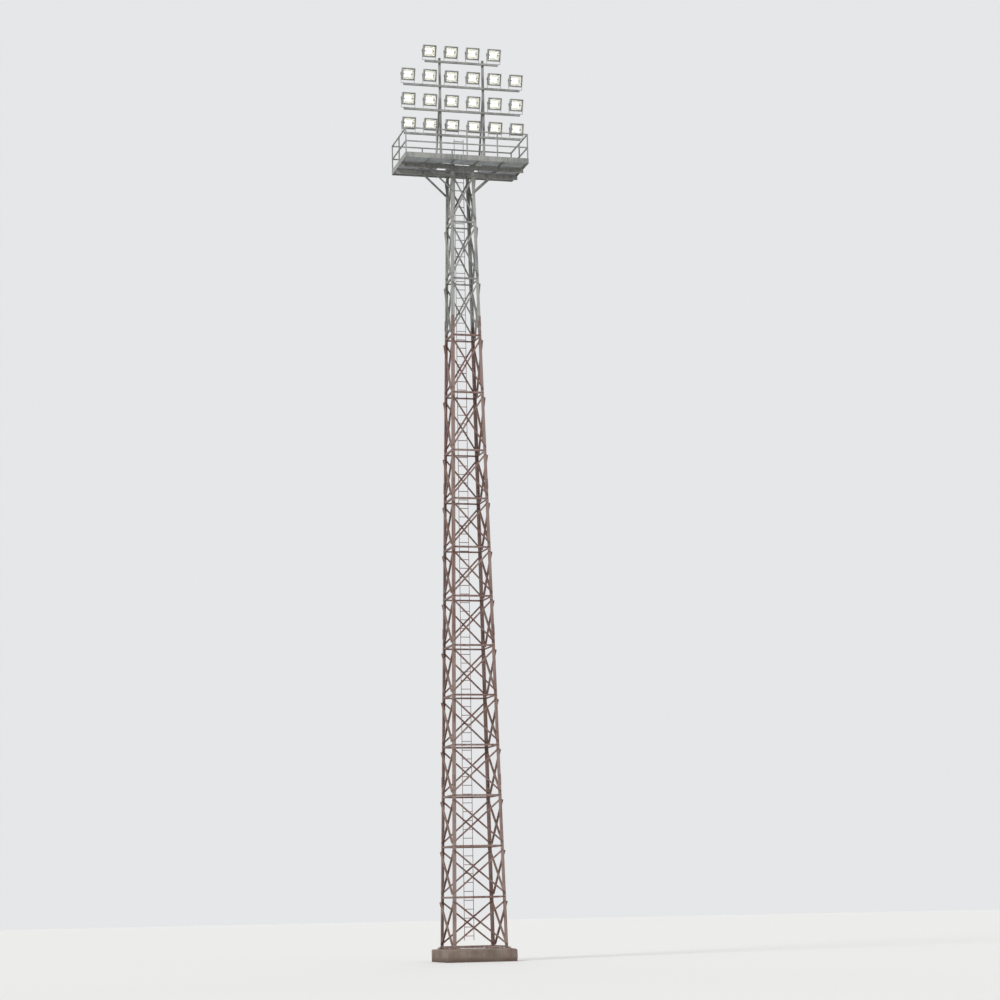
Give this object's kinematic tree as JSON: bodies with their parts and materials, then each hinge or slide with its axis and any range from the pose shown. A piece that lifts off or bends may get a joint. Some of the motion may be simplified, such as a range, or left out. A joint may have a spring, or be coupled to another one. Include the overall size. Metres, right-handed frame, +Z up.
{
  "type": "stadium floodlight pylon",
  "caption": "Tapered square lattice tower on a plinth, with an inside ladder, a railed platform and a frame of tilted floodlights on top.",
  "frame": {"origin": "middle of the plinth's underside, on the ground", "axes": "+Z up the tower, -Y the lit side that faces the pitch, +X to the right as seen from the pitch"},
  "size_m": [4.45, 2.4, 32.0242],
  "materials": {
    "concrete": "weathered cast concrete, dusty, with damp and lime streaks",
    "red_steel": "faded red oxide paint with dust and rust at edges and joints",
    "grey_steel": "dull grey paint, weathered, with rust streaks",
    "ladder_steel": "dusty red-brown paint, worn on the rungs",
    "grating": "dull galvanised grating",
    "platform_steel": "dull grey weathered paint over steel",
    "frame_steel": "dull grey weathered paint over steel",
    "stirrup_steel": "galvanised flat bar",
    "lamp_casting": "matt cast and pressed aluminium",
    "lamp_glass": "clear toughened glass"
  },
  "bodies": {
    "root": {"bracing_lower_back": "red_steel", "bracing_lower_front": "red_steel", "bracing_lower_left": "red_steel", "bracing_lower_right": "red_steel", "bracing_upper_back": "grey_steel", "bracing_upper_front": "grey_steel", "bracing_upper_left": "grey_steel", "bracing_upper_right": "grey_steel", "foot_plates": "red_steel", "foundation_plinth": "concrete", "ladder": "ladder_steel", "ladder_struts": "ladder_steel", "lamp_frame_beams": "frame_steel", "lamp_frame_stays": "frame_steel", "lamp_frame_uprights": "frame_steel", "lamp_glasses_row_1": "lamp_glass", "lamp_glasses_row_2": "lamp_glass", "lamp_glasses_row_3": "lamp_glass", "lamp_glasses_row_4": "lamp_glass", "lamp_housings_row_1": "lamp_casting", "lamp_housings_row_2": "lamp_casting", "lamp_housings_row_3": "lamp_casting", "lamp_housings_row_4": "lamp_casting", "lamp_stirrups_row_1": "stirrup_steel", "lamp_stirrups_row_2": "stirrup_steel", "lamp_stirrups_row_3": "stirrup_steel", "lamp_stirrups_row_4": "stirrup_steel", "leg_lower_back_left": "red_steel", "leg_lower_back_right": "red_steel", "leg_lower_front_left": "red_steel", "leg_lower_front_right": "red_steel", "leg_splices": "red_steel", "leg_upper_back_left": "grey_steel", "leg_upper_back_right": "grey_steel", "leg_upper_front_left": "grey_steel", "leg_upper_front_right": "grey_steel", "platform_bearers": "platform_steel", "platform_deck": "grating", "platform_joists": "platform_steel", "platform_knee_braces": "platform_steel", "platform_toe_boards": "platform_steel", "railing_back": "platform_steel", "railing_front": "platform_steel", "railing_left": "platform_steel", "railing_right": "platform_steel"}
  },
  "joints": []
}
